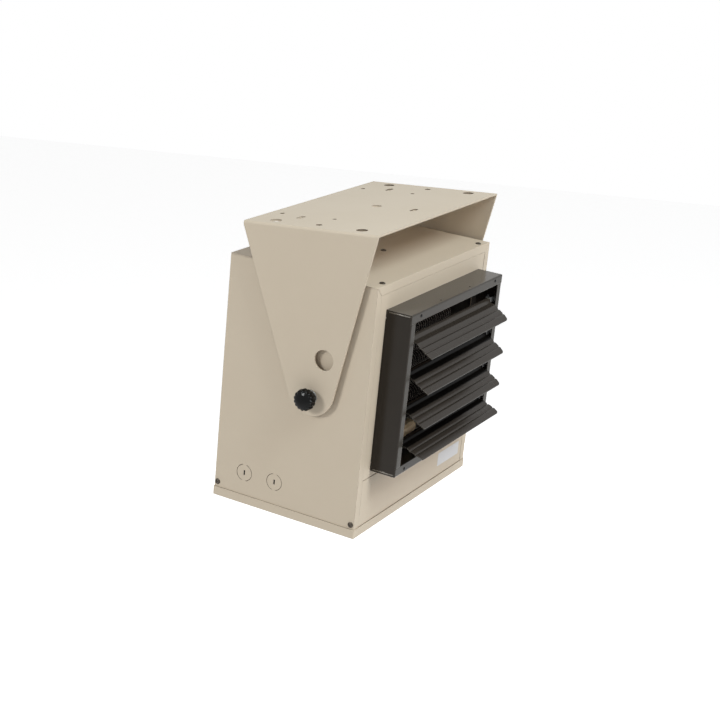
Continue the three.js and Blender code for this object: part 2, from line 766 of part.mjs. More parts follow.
function fanRelay() {
  const y = controlY - 0.6 - GAP;
  const z = base + 50;
  const x = 66;
  return union([
    box(x - 20, x + 20, y - 2.5, y, z - 20, z + 20),
    extrude(roundedRect(x - 14, x + 14, z - 16, z + 16, 3), 'xz', y - 30, y - 2, { curveSegments: 3 }),
  ]);
}

function groundLug() {
  const y = controlY - 0.6 - GAP;
  const z = base + 40;
  const x = 104;
  const lug = union([
    box(x - 6, x + 6, y - 12, y, z - 2, z + 12),
    box(x - 6, x + 6, y - 2, y, z - 12, z + 12),
  ]);
  return lug.subtract(rod('z', 3, z - 20, z + 20, x, y - 6.5, 8));
}

// Tilt pivots: knob and stud outside, spacer between arm and casing, nut inside.
function knob() {
  const lobes = 12;
  const shape = new THREE.Shape();
  const steps = lobes * 2;
  for (let i = 0; i < steps; i += 1) {
    const angle = (i * 2 * Math.PI) / steps;
    const r = KNOB_R - 2.9 + 1.3 * Math.pow(Math.abs(Math.sin((angle * lobes) / 2)), 0.7);
    const x = r * Math.cos(angle);
    const y = r * Math.sin(angle);
    if (i === 0) shape.moveTo(x, y);
    else shape.lineTo(x, y);
  }
  shape.closePath();
  const rounded = { bevelEnabled: true, bevelThickness: 1.6, bevelSize: 1.6, bevelSegments: 1 };
  const grip = extrude(shape, 'yz', 8, 21, rounded);
  const cap = turned([
    [0, 24.6],
    [7, 24.2],
    [12, 22.6],
    [13.4, 20],
    [13.4, 12],
    [0, 12],
  ], 'x', 0, 0, 16);
  const boss = turned([
    [0, 9],
    [13, 9],
    [10.5, 0],
    [0, 0],
  ], 'x', 0, 0, 16);
  return union([grip, cap, boss]).subtract(rod('x', STUD_R + GAP, -1, 12, 0, 0, 14));
}

function placeSide(shape, side, x) {
  const outward = side > 0 ? shape : shape.mirror([1, 0, 0]);
  return outward.translate([side * x, 0, 0]);
}

function pivotParts(side) {
  const tag = side > 0 ? 'right' : 'left';
  const washerT = 1.6;
  const knobX = armOut + GAP + washerT + GAP;
  addPart(heater, `pivot_knob_${tag}`, placeSide(knob(), side, knobX), 'black');
  const stud = turned([
    [0, -28],
    [STUD_R - 0.6, -28],
    [STUD_R, -27],
    [STUD_R, 11.5],
    [0, 11.5],
  ], 'x', 0, 0, 14);
  addPart(heater, `pivot_stud_${tag}`, placeSide(stud, side, knobX), 'zinc');
  const washer = ringAlong(studBore, STUD_R + 8, 0, washerT);
  addPart(heater, `pivot_washer_${tag}`, placeSide(washer, side, armOut + GAP), 'zinc');
  const spacer = ringAlong(studBore, STUD_R + 7, 0, ARM_GAP - 2 * GAP);
  addPart(heater, `pivot_spacer_${tag}`, placeSide(spacer, side, caseX + GAP), 'zinc');
  const hex = ringAlong(studBore, STUD_R + 5.5, 0, 8, 6);
  addPart(heater, `pivot_nut_${tag}`, placeSide(hex, side, caseX - SHEET - GAP - 8), 'zinc');
}

function ringAlong(inner, outer, a, b, sides = 16) {
  return rod('x', outer, a, b, 0, 0, sides).subtract(rod('x', inner, a - 1, b + 1, 0, 0, 12));
}

// Assembly.
addPart(group, 'mounting_bracket', mountingBracket(), 'beige');
for (const side of [-1, 1]) {
  pivotParts(side);
  addPart(heater, side < 0 ? 'left_side_panel' : 'right_side_panel', sidePanel(side), 'beige');
}
addPart(heater, 'top_panel', topPanel(), 'beige');
addPart(heater, 'upper_front_panel', upperFrontPanel(), 'beige');
addPart(heater, 'lower_front_panel', lowerFrontPanel(), 'beige');
addPart(heater, 'bottom_pan', bottomPan(), 'beige');
addPart(heater, 'rear_panel', rearPanel(), 'beige');
addPart(heater, 'divider_shelf', dividerShelf(), 'zinc');

addPart(heater, 'frame_rail_top', frameRail(true), 'bronze');
addPart(heater, 'frame_rail_bottom', frameRail(false), 'bronze');
addPart(heater, 'frame_stile_left', frameStile(-1), 'bronze');
addPart(heater, 'frame_stile_right', frameStile(1), 'bronze');
for (let i = 0; i < LOUVER_COUNT; i += 1) {
  const blade = addPart(heater, `louver_${i + 1}`, louver(), 'bronze');
  blade.position.set(0, louverY, louverZ(i));
  blade.rotation.x = LOUVER_SET[i] * RAD;
  for (const side of [-1, 1]) {
    const tag = side > 0 ? 'right' : 'left';
    const clip = addPart(heater, `pivot_clip_${tag}_${i + 1}`, pivotClip(side), 'zinc');
    clip.position.set(0, louverY, louverZ(i));
  }
}

addPart(heater, 'rear_guard', rearGuard(), 'black');
addPart(heater, 'fan_shroud', fanShroud(), 'zinc');
addPart(heater, 'fan_rotor', fanRotor(), 'blade');
const motor = motorParts();
addPart(heater, 'motor_shell', motor.shell, 'motor');
addPart(heater, 'motor_bell_near', motor.nearBell, 'motor');
addPart(heater, 'motor_bell_far', motor.farBell, 'motor');
addPart(heater, 'motor_shaft', motor.shaft, 'zinc');
addPart(heater, 'fan_collar', motor.collar, 'zinc');
addPart(heater, 'motor_strap', motorStrap(), 'zinc');

for (let i = 0; i < ELEMENT_COUNT; i += 1) {
  addPart(heater, `heating_element_${i + 1}`, heatingElement(i), 'element');
}
addPart(heater, 'element_upright_left', elementUpright(-1), 'zinc');
addPart(heater, 'element_upright_right', elementUpright(1), 'zinc');
addPart(heater, 'sensor_rail', sensorRail(), 'zinc');
addPart(heater, 'limit_sensor', limitSensor(), 'ceramic');

addPart(heater, 'control_plate', controlPlate(), 'zinc');
addPart(heater, 'terminal_block', terminalBlock(), 'plastic');
addPart(heater, 'contactor', contactor(), 'plastic');
addPart(heater, 'fan_relay', fanRelay(), 'plastic');
addPart(heater, 'ground_lug', groundLug(), 'zinc');

export default group;
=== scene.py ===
import json
import math

import bmesh
import bpy
from mathutils import Matrix, Vector


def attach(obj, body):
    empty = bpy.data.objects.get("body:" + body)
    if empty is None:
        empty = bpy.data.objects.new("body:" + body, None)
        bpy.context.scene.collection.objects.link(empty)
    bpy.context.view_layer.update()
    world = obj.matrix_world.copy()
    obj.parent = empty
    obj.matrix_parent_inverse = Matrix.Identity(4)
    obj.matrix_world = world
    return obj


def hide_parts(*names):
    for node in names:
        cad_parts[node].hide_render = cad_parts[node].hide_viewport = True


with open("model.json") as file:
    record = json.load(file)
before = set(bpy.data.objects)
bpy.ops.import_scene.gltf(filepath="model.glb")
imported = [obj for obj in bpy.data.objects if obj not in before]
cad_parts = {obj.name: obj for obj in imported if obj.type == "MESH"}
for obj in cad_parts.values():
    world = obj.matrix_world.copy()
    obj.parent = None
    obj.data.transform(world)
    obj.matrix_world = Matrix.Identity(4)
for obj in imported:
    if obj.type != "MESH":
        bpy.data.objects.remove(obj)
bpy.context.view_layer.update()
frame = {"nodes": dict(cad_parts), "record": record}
NODES = frame["nodes"]

# Named values shared with the solids, in millimetres unless noted.
TILT = math.radians(5.8)
PIVOT_Y, PIVOT_Z = 40.0, -259.0
CASE_X = 192.3
FRONT, REAR = -90.0, 166.0
BASE, TOP = -211.5, 188.5
PAN_TOP = BASE + 14.0
FRAME_TOP = TOP - 39.0
FRAME_LOW = FRAME_TOP - 258.0
FRAME_FACE = FRONT - 43.7
FAN_Z = 33.0
FAN_R = 118.0
GUARD_R = FAN_R + 20.0
GUARD_Y = REAR + 2.3
LOUVER_Y = FRONT - 31.7
LOUVER_CHORD = 46.9
LOUVER_SET = (31.5, 31.0, 29.2, 19.5)
BLADE_HALF = 139.0
BLADE_T = 1.1
LOUVER_TOP, LOUVER_PITCH = FRAME_TOP - 41.5, 56.3
KNOCK_OUTS = (REAR - 53.4, REAR - 109.0)
KNOCK_OUT_Z = BASE + 51.5
PLATE_Y = 40.0  # row frame, middle of the mounting plate
# Holes of the mounting plate: x, y from its middle, half sizes, corner radius, depth of the painted
# shade on the hole's wall.
PLATE_HOLES = [(0, 0, 8, 8, 8, 0.5), (-177, 0, 5, 5, 5, 1.5), (177, 0, 5, 5, 5, 1.7),
               (-127, 2.5, 3.4, 3.4, 3.4, 1.3), (127, 2.5, 3.4, 3.4, 3.4, 1.3),
               (-127, 95, 3.9, 3.9, 3.9, 1.1), (127, 95, 3.9, 3.9, 3.9, 1.3),
               (-179, 73.6, 9, 9, 9, 0.5), (179, 73.6, 9, 9, 9, 2.3),
               (-179, -73.6, 9, 9, 9, 2.3), (179, -73.6, 9, 9, 9, 2.3),
               (141, 53, 10, 4, 3.9, 1.5), (-141, 53, 10, 4, 3.9, 0.4), (0, -66, 10, 4, 3.9, 1.4)]
ARM_OUT = CASE_X + 8.3 + 3.0
ELEMENT_Y = FRONT + 48.0
TUBE_R = 4.2
FIN_R, FIN_ROOT = 13.4, 3.9
FIN_HALF, FIN_CRIMP = 0.2, 0.7
FIN_PITCH, FIN_STEPS, FIN_REACH = 7.5, 22, 151.0
RUN_GAP = 29.0
HAIRPINS = 4
KNOB_START = ARM_OUT + 2.2
KNOB_LOBES = 15

# The scene around the object, in metres: camera fitted to the photograph, lamps aimed at CENTRE.
CENTRE = Vector((0, 0, -0.25))
CAMERA_PLACE = (-2.21319, -1.16395, 0.46851)
CAMERA_DEGREES = (74.054, -0.369, -60.794)
CAMERA_LENS = 81.31
FLOOR_Z = -1.45
FLOOR_GLOW = 0.64
WORLD_LIGHT = 0.32

CASE_TO_ROW = (
    Matrix.Translation((0, PIVOT_Y / 1000, PIVOT_Z / 1000))
    @ Matrix.Rotation(TILT, 4, "X")
)
CASE_TURN = CASE_TO_ROW.to_3x3()
UP = (CASE_TURN @ Vector((0, 0, 1))).normalized()
FORWARD = (CASE_TURN @ Vector((0, -1, 0))).normalized()
BACKWARD = -FORWARD


def case(x, y, z):
    """A point given from the tilt pivot in the casing's own axes, mm, as a row point in metres."""
    return CASE_TO_ROW @ Vector((x / 1000, y / 1000, z / 1000))


# ---------------------------------------------------------------- camera, lights, floor

def make_camera():
    data = bpy.data.cameras.new("camera")
    data.lens = CAMERA_LENS
    data.sensor_width = 36
    data.clip_end = 30
    camera = bpy.data.objects.new("camera", data)
    camera.location = CAMERA_PLACE
    camera.rotation_euler = [math.radians(v) for v in CAMERA_DEGREES]
    bpy.context.collection.objects.link(camera)
    bpy.context.scene.camera = camera


def area_light(name, location, size, power, colour):
    data = bpy.data.lights.new(name, "AREA")
    data.shape = "RECTANGLE"
    data.size, data.size_y = size
    data.energy = power
    data.color = colour
    lamp = bpy.data.objects.new(name, data)
    lamp.location = location
    lamp.rotation_euler = (CENTRE - location).to_track_quat("-Z", "Y").to_euler()
    bpy.context.collection.objects.link(lamp)


def direct_rays(tree):
    """One for camera, glossy and transmission rays, which see the white surroundings, else zero."""
    path = tree.nodes.new("ShaderNodeLightPath")
    total = path.outputs["Is Camera Ray"]
    for kind in ("Is Glossy Ray", "Is Transmission Ray"):
        larger = tree.nodes.new("ShaderNodeMath")
        larger.operation = "MAXIMUM"
        tree.links.new(total, larger.inputs[0])
        tree.links.new(path.outputs[kind], larger.inputs[1])
        total = larger.outputs[0]
    return total


def around(azimuth, elevation, distance=3.2):
    """A lamp's place, from the object's centre. Azimuth 0 is in front, negative to the left."""
    a, e = math.radians(azimuth), math.radians(elevation)
    direction = Vector((math.sin(a) * math.cos(e), -math.cos(a) * math.cos(e), math.sin(e)))
    return direction * distance + CENTRE


def make_lights():
    area_light("key", around(-11, 46.5), (1.25, 1.25), 68, (0.89, 1.0, 1.05))
    area_light("side", around(-111, 21), (0.75, 0.75), 36, (0.98, 1.0, 1.0))
    area_light("front", around(-6, 30), (1.6, 1.2), 22, (1.14, 0.98, 0.9))
    area_light("rear", around(165, -8), (2.0, 1.6), 22, (0.98, 0.99, 1.0))
    area_light("right", around(100, -8), (1.6, 1.6), 14, (0.98, 0.99, 1.0))
    area_light("low", around(-48, -22), (1.6, 1.6), 5, (1.0, 0.7, 0.55))
    world = bpy.data.worlds.new("studio")
    bpy.context.scene.world = world
    world.use_nodes = True
    tree = world.node_tree
    tree.nodes.clear()
    out = tree.nodes.new("ShaderNodeOutputWorld")
    back = tree.nodes.new("ShaderNodeBackground")
    seen = direct_rays(tree)
    strength = tree.nodes.new("ShaderNodeMapRange")
    strength.inputs["To Min"].default_value = WORLD_LIGHT
    strength.inputs["To Max"].default_value = 1.0
    tree.links.new(seen, strength.inputs["Value"])
    tree.links.new(strength.outputs["Result"], back.inputs["Strength"])
    back.inputs["Color"].default_value = (1, 1, 1, 1)
    tree.links.new(back.outputs[0], out.inputs["Surface"])


def make_floor():
    bpy.ops.mesh.primitive_plane_add(size=16, location=(0, 0, FLOOR_Z))
    floor = bpy.context.object
    floor.name = "floor"
    material = bpy.data.materials.new("floor")
    material.use_nodes = True
    tree = material.node_tree
    shader = tree.nodes["Principled BSDF"]
    shader.inputs["Base Color"].default_value = (0.93, 0.93, 0.93, 1)
    shader.inputs["Roughness"].default_value = 0.9
    shader.inputs["Specular IOR Level"].default_value = 0.1
    glow = tree.nodes.new("ShaderNodeEmission")
    glow.inputs["Color"].default_value = (1, 1, 1, 1)
    glow.inputs["Strength"].default_value = FLOOR_GLOW
    both = tree.nodes.new("ShaderNodeAddShader")
    pick = tree.nodes.new("ShaderNodeMixShader")
    tree.links.new(shader.outputs[0], both.inputs[0])
    tree.links.new(glow.outputs[0], both.inputs[1])
    tree.links.new(direct_rays(tree), pick.inputs["Fac"])
    tree.links.new(shader.outputs[0], pick.inputs[1])
    tree.links.new(both.outputs[0], pick.inputs[2])
    tree.links.new(pick.outputs[0], tree.nodes["Material Output"].inputs["Surface"])
    floor.data.materials.append(material)


# ---------------------------------------------------------------- materials

def socket(group, name, kind, default=None, out=False):
    item = group.interface.new_socket(
        name=name, in_out="OUTPUT" if out else "INPUT", socket_type=kind
    )
    if default is not None:
        item.default_value = default
    return item


def surface_group():
    """Mottled colour, worn edges (a light edge colour paints glints on some materials), varied
    roughness, fine grain and a softly rounded normal.
    """
    group = bpy.data.node_groups.new("surface_detail", "ShaderNodeTree")
    socket(group, "Colour", "NodeSocketColor", (0.5, 0.5, 0.5, 1))
    socket(group, "Mottle Colour", "NodeSocketColor", (0.4, 0.4, 0.4, 1))
    socket(group, "Mottle", "NodeSocketFloat", 0.2)
    socket(group, "Mottle Scale", "NodeSocketFloat", 9.0)
    socket(group, "Wear And Glint Colour", "NodeSocketColor", (0.8, 0.8, 0.8, 1))
    socket(group, "Wear And Glint", "NodeSocketFloat", 0.3)
    socket(group, "Roughness Low", "NodeSocketFloat", 0.35)
    socket(group, "Roughness High", "NodeSocketFloat", 0.5)
    socket(group, "Grain Scale", "NodeSocketFloat", 900.0)
    socket(group, "Grain Height", "NodeSocketFloat", 0.05)
    socket(group, "Edge Radius", "NodeSocketFloat", 0.0008)
    socket(group, "Stretch", "NodeSocketVector", (1, 1, 1))
    socket(group, "Colour", "NodeSocketColor", out=True)
    socket(group, "Roughness", "NodeSocketFloat", out=True)
    socket(group, "Normal", "NodeSocketVector", out=True)
    new, link = group.nodes.new, group.links.new
    given = new("NodeGroupInput")
    result = new("NodeGroupOutput")
    place = new("ShaderNodeTexCoord")
    stretch = new("ShaderNodeVectorMath")
    stretch.operation = "MULTIPLY"
    link(place.outputs["Object"], stretch.inputs[0])
    link(given.outputs["Stretch"], stretch.inputs[1])

    broad = new("ShaderNodeTexNoise")
    broad.inputs["Detail"].default_value = 5
    broad.inputs["Roughness"].default_value = 0.62
    link(stretch.outputs[0], broad.inputs["Vector"])
    link(given.outputs["Mottle Scale"], broad.inputs["Scale"])
    spread = new("ShaderNodeMapRange")
    spread.inputs["From Min"].default_value = 0.35
    spread.inputs["From Max"].default_value = 0.7
    link(broad.outputs["Fac"], spread.inputs["Value"])
    amount = new("ShaderNodeMath")
    amount.operation = "MULTIPLY"
    link(spread.outputs["Result"], amount.inputs[0])
    link(given.outputs["Mottle"], amount.inputs[1])
    mottled = new("ShaderNodeMix")
    mottled.data_type = "RGBA"
    link(amount.outputs[0], mottled.inputs["Factor"])
    link(given.outputs["Colour"], mottled.inputs["A"])
    link(given.outputs["Mottle Colour"], mottled.inputs["B"])

    rounded = new("ShaderNodeBevel")
    rounded.samples = 6
    link(given.outputs["Edge Radius"], rounded.inputs["Radius"])
    flat = new("ShaderNodeNewGeometry")
    dot = new("ShaderNodeVectorMath")
    dot.operation = "DOT_PRODUCT"
    link(rounded.outputs["Normal"], dot.inputs[0])
    link(flat.outputs["True Normal"], dot.inputs[1])
    edge = new("ShaderNodeMapRange")
    edge.inputs["From Min"].default_value = 0.995
    edge.inputs["From Max"].default_value = 0.88
    link(dot.outputs["Value"], edge.inputs["Value"])
    patches = new("ShaderNodeTexNoise")
    patches.inputs["Scale"].default_value = 70
    patches.inputs["Detail"].default_value = 4
    link(place.outputs["Object"], patches.inputs["Vector"])
    wear_and_glint_spots = new("ShaderNodeMath")
    wear_and_glint_spots.operation = "MULTIPLY"
    link(edge.outputs["Result"], wear_and_glint_spots.inputs[0])
    link(patches.outputs["Fac"], wear_and_glint_spots.inputs[1])
    wear_and_glint = new("ShaderNodeMath")
    wear_and_glint.operation = "MULTIPLY"
    wear_and_glint.use_clamp = True
    link(wear_and_glint_spots.outputs[0], wear_and_glint.inputs[0])
    link(given.outputs["Wear And Glint"], wear_and_glint.inputs[1])
    # Worn edges take the edge colour; where it is light it is a painted glint or highlight.
    coloured = new("ShaderNodeMix")
    coloured.data_type = "RGBA"
    link(wear_and_glint.outputs[0], coloured.inputs["Factor"])
    link(mottled.outputs["Result"], coloured.inputs["A"])
    link(given.outputs["Wear And Glint Colour"], coloured.inputs["B"])
    link(coloured.outputs["Result"], result.inputs["Colour"])

    grain = new("ShaderNodeTexNoise")
    grain.inputs["Detail"].default_value = 2
    link(stretch.outputs[0], grain.inputs["Vector"])
    link(given.outputs["Grain Scale"], grain.inputs["Scale"])
    blend = new("ShaderNodeMath")
    blend.operation = "ADD"
    link(broad.outputs["Fac"], blend.inputs[0])
    link(grain.outputs["Fac"], blend.inputs[1])
    rough = new("ShaderNodeMapRange")
    rough.inputs["From Min"].default_value = 0.6
    rough.inputs["From Max"].default_value = 1.4
    link(blend.outputs[0], rough.inputs["Value"])
    link(given.outputs["Roughness Low"], rough.inputs["To Min"])
    link(given.outputs["Roughness High"], rough.inputs["To Max"])
    link(rough.outputs["Result"], result.inputs["Roughness"])
    bump = new("ShaderNodeBump")
    bump.inputs["Distance"].default_value = 0.0004
    link(given.outputs["Grain Height"], bump.inputs["Strength"])
    link(grain.outputs["Fac"], bump.inputs["Height"])
    link(rounded.outputs["Normal"], bump.inputs["Normal"])
    link(bump.outputs["Normal"], result.inputs["Normal"])
    return group


SURFACE = surface_group()


def material(name, colour, mottle, wear_and_glint_colour, rough, metallic=0.0, specular=0.5, coat=0.0,
             mottle_amount=0.25, mottle_scale=9.0, wear_and_glint=0.35, grain=900.0, grain_height=0.05,
             edge=0.0008, stretch=(1, 1, 1), sheen=0.0):
    made = bpy.data.materials.new(name)
    made.use_nodes = True
    tree = made.node_tree
    shader = tree.nodes["Principled BSDF"]
    shader.inputs["Metallic"].default_value = metallic
    shader.inputs["Specular IOR Level"].default_value = specular
    shader.inputs["Coat Weight"].default_value = coat
    shader.inputs["Coat Roughness"].default_value = 0.12
    shader.inputs["Sheen Weight"].default_value = sheen
    shader.inputs["Sheen Roughness"].default_value = 0.35
    shader.inputs["Sheen Tint"].default_value = (1.0, 0.94, 0.82, 1)
    detail = tree.nodes.new("ShaderNodeGroup")
    detail.node_tree = SURFACE
    values = {
        "Colour": (*colour, 1), "Mottle Colour": (*mottle, 1), "Wear And Glint Colour": (*wear_and_glint_colour, 1),
        "Mottle": mottle_amount, "Mottle Scale": mottle_scale, "Wear And Glint": wear_and_glint,
        "Roughness Low": rough[0], "Roughness High": rough[1], "Grain Scale": grain,
        "Grain Height": grain_height, "Edge Radius": edge, "Stretch": stretch,
    }
    for key, value in values.items():
        detail.inputs[key].default_value = value
    tree.links.new(detail.outputs["Colour"], shader.inputs["Base Color"])
    tree.links.new(detail.outputs["Roughness"], shader.inputs["Roughness"])
    tree.links.new(detail.outputs["Normal"], shader.inputs["Normal"])
    return made


BEIGE = material("beige_powder_coat", (0.573, 0.491, 0.383), (0.538, 0.454, 0.348),
                 (0.72, 0.66, 0.56), (0.46, 0.6), specular=0.32, mottle_amount=0.35,
                 mottle_scale=5.0, grain=1400.0, grain_height=0.10, edge=0.0009)
BRONZE = material("bronze_powder_coat", (0.023, 0.0185, 0.0145), (0.03, 0.0245, 0.019),
                  (0.15, 0.135, 0.115), (0.13, 0.21), specular=0.15, mottle_amount=0.25,
                  mottle_scale=26.0, wear_and_glint=0.6, grain=1600.0, grain_height=0.06, edge=0.0012,
                  sheen=0.4)
# The blades' light edge colour is partly wear and partly painted highlights on their front and cut
# edges.
BLADE = material("louver_powder_coat", (0.029, 0.0235, 0.0185), (0.036, 0.03, 0.024),
                 (0.34, 0.31, 0.26), (0.2, 0.3), specular=0.14, mottle_amount=0.25,
                 mottle_scale=26.0, wear_and_glint=0.9, grain=1600.0, grain_height=0.06, edge=0.0005)
# Near-black painted shade for the rear part of the lower blades, where the blade above shades them.
BLADE_PAINTED_SHADE = material("blade_painted_shade", (0.003, 0.0026, 0.0022), (0.006, 0.005, 0.004),
                      (0.05, 0.04, 0.03), (0.3, 0.42), specular=0.05, mottle_amount=0.5, wear_and_glint=0.5,
                      grain=1500.0, grain_height=0.1)
GLOSS = material("black_moulded_plastic", (0.003, 0.003, 0.003), (0.006, 0.006, 0.006),
                 (0.02, 0.02, 0.02), (0.06, 0.12), specular=0.13, mottle_amount=0.5,
                 mottle_scale=60.0, wear_and_glint=0.2, grain=2500.0, grain_height=0.01, edge=0.0007)
ZINC = material("zinc_plated_steel", (0.50, 0.51, 0.51), (0.36, 0.35, 0.33), (0.75, 0.75, 0.74),
                (0.28, 0.5), metallic=0.9, mottle_amount=0.6, mottle_scale=70.0, wear_and_glint=0.4,
                grain=500.0, grain_height=0.05, edge=0.0004, stretch=(1, 1, 0.25))
# The light edge colour on the heads is partly wear and partly painted glints.
SCREW = material("dark_screw_steel", (0.085, 0.07, 0.055), (0.035, 0.03, 0.024), (0.5, 0.46, 0.4),
                 (0.22, 0.4), metallic=0.85, mottle_amount=0.7, mottle_scale=300.0, wear_and_glint=1.0,
                 grain=3000.0, grain_height=0.04, edge=0.0004)
# Light metal for the frame's corner beads: a painted highlight along them.
BEAD_PAINTED_HIGHLIGHT = material("bead_painted_highlight", (0.17, 0.155, 0.135), (0.11, 0.10, 0.085), (0.4, 0.38, 0.34),
                (0.2, 0.35), metallic=0.6, mottle_amount=0.5, mottle_scale=120.0, wear_and_glint=0.4,
                grain=1500.0, grain_height=0.05, edge=0.0003)
# Dark colour for pieces that paint the shade in gaps, slits and holes.
SHADOW_GAP = material("dark_painted_shade_filler", (0.16, 0.125, 0.09), (0.10, 0.08, 0.06),
                      (0.3, 0.27, 0.22), (0.6, 0.8), specular=0.1, mottle_amount=0.5,
                      mottle_scale=90.0, wear_and_glint=0.2, grain=2000.0, grain_height=0.08, edge=0.0002)
# The fins' light edge colour, laid on strongly, paints glints on their rims.
ELEMENT = material("heat_dark_steel", (0.007, 0.006, 0.0055), (0.02, 0.015, 0.012),
                   (0.7, 0.64, 0.57), (0.35, 0.5), specular=0.3, mottle_amount=0.5,
                   mottle_scale=45.0, wear_and_glint=1.9, grain=1200.0, grain_height=0.12, edge=0.0005)
# Heat-tinted zinc on the uprights and sensor rail; on the outlet lining and the dark sheets it paints
# shade.
HEAT_TINT_AND_SHADE = material("heat_tinted_zinc_and_painted_shade", (0.045, 0.043, 0.041), (0.075, 0.068, 0.058),
                  (0.2, 0.19, 0.18), (0.35, 0.55), metallic=0.6, mottle_amount=0.6,
                  mottle_scale=60.0, wear_and_glint=0.4, grain=700.0, grain_height=0.06, edge=0.0004)
GUARD = material("black_coated_wire", (0.017, 0.017, 0.018), (0.03, 0.03, 0.03),
                 (0.12, 0.12, 0.12), (0.35, 0.5), mottle_amount=0.4, mottle_scale=40.0,
                 wear_and_glint=0.4, grain=2000.0, grain_height=0.06, edge=0.0005)
MOTOR = material("motor_enamel", (0.026, 0.028, 0.031), (0.05, 0.048, 0.045), (0.2, 0.2, 0.2),
                 (0.35, 0.55), metallic=0.2, mottle_amount=0.4, mottle_scale=30.0, wear_and_glint=0.6,
                 grain=1200.0, grain_height=0.12, edge=0.0007)
FAN = material("rolled_aluminium", (0.60, 0.61, 0.62), (0.47, 0.47, 0.47), (0.8, 0.8, 0.8),
               (0.25, 0.42), metallic=0.95, mottle_amount=0.4, mottle_scale=18.0, wear_and_glint=0.3,
               grain=700.0, grain_height=0.06, edge=0.0005, stretch=(0.2, 1, 1))
CERAMIC = material("cream_ceramic", (0.86, 0.68, 0.44), (0.78, 0.58, 0.35), (0.9, 0.82, 0.65),
                   (0.4, 0.6), mottle_amount=0.5, mottle_scale=40.0, wear_and_glint=0.3, grain=1800.0,
                   grain_height=0.1, edge=0.0008)
PLASTIC = material("dark_phenolic", (0.03, 0.031, 0.034), (0.055, 0.055, 0.055), (0.1, 0.1, 0.1),
                   (0.38, 0.55), mottle_amount=0.4, mottle_scale=60.0, wear_and_glint=0.3, grain=2500.0,
                   grain_height=0.08, edge=0.0006)
STICKER = material("blank_sticker", (0.60, 0.60, 0.61), (0.55, 0.545, 0.54), (0.7, 0.68, 0.62),
                   (0.3, 0.4), mottle_amount=0.4, mottle_scale=30.0, wear_and_glint=0.5, grain=900.0,
                   grain_height=0.02, edge=0.0001)

SLOT_MATERIAL = {
    "beige_paint": BEIGE, "bronze_paint": BRONZE, "black_knob": GLOSS, "zinc_steel": ZINC,
    "element_steel": ELEMENT, "guard_wire": GUARD, "motor_paint": MOTOR, "fan_blade": FAN,
    "ceramic": CERAMIC, "dark_plastic": PLASTIC,
}


def dress_nodes():
    slots = {s["node"]: s["material_slot"] for s in frame["record"]["subparts"]}
    for name, node in NODES.items():
        chosen = SLOT_MATERIAL[slots[name]]
        if name.startswith("element_upright") or name == "sensor_rail":
            chosen = HEAT_TINT_AND_SHADE
        for index in range(max(len(node.material_slots), 1)):
            if node.material_slots:
                node.material_slots[index].material = chosen
            else:
                node.data.materials.append(chosen)


# ---------------------------------------------------------------- mesh helpers

def add_object(name, mesh, look, body, smooth_angle=35):
    mesh.materials.clear()
    mesh.materials.append(look)
    for polygon in mesh.polygons:
        polygon.use_smooth = True
        polygon.material_index = 0
    mesh.set_sharp_from_angle(angle=math.radians(smooth_angle))
    piece = bpy.data.objects.new(name, mesh)
    bpy.context.collection.objects.link(piece)
    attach(piece, body)
    return piece


def mesh_from(name, build):
    mesh = bpy.data.meshes.new(name)
    bm = bmesh.new()
    build(bm)
    bmesh.ops.recalc_face_normals(bm, faces=bm.faces)
    bm.to_mesh(mesh)
    bm.free()
    return mesh


def lathe(bm, profile, steps, transform=Matrix.Identity(4), radius_at=None):
    """Turns (radius, height) pairs about Z. The first and last pair may lie on the axis."""
    rings = []
    for r, h in profile:
        if r < 1e-9:
            rings.append([bm.verts.new(transform @ Vector((0, 0, h)))])
            continue
        ring = []
        for i in range(steps):
            angle = 2 * math.pi * i / steps
            rr = radius_at(r, h, angle) if radius_at else r
            point = Vector((rr * math.cos(angle), rr * math.sin(angle), h))
            ring.append(bm.verts.new(transform @ point))
        rings.append(ring)
    for low, high in zip(rings, rings[1:]):
        if len(low) == 1 and len(high) == 1:
            continue
        for i in range(steps):
            j = (i + 1) % steps
            if len(low) == 1:
                bm.faces.new((low[0], high[i], high[j]))
            elif len(high) == 1:
                bm.faces.new((low[i], low[j], high[0]))
            else:
                bm.faces.new((low[i], low[j], high[j], high[i]))


def skin(bm, loops, closed=False):
    """Joins each loop of vertices to the next with quads. Unless closed, the ends get a cap."""
    pairs = list(zip(loops, loops[1:]))
    if closed:
        pairs.append((loops[-1], loops[0]))
    for a, b in pairs:
        for i in range(len(a)):
            j = (i + 1) % len(a)
            bm.faces.new((a[i], a[j], b[j], b[i]))
    if not closed:
        bm.faces.new(loops[0])
        bm.faces.new(loops[-1][::-1])


def add_box(bm, size, middle, turn=Matrix.Identity(3)):
    made = bmesh.ops.create_cube(bm, size=1)["verts"]
    bmesh.ops.scale(bm, vec=size, verts=made)
    bmesh.ops.rotate(bm, matrix=turn, verts=made)
    bmesh.ops.translate(bm, vec=middle, verts=made)


# ---------------------------------------------------------------- geometry nodes scatter

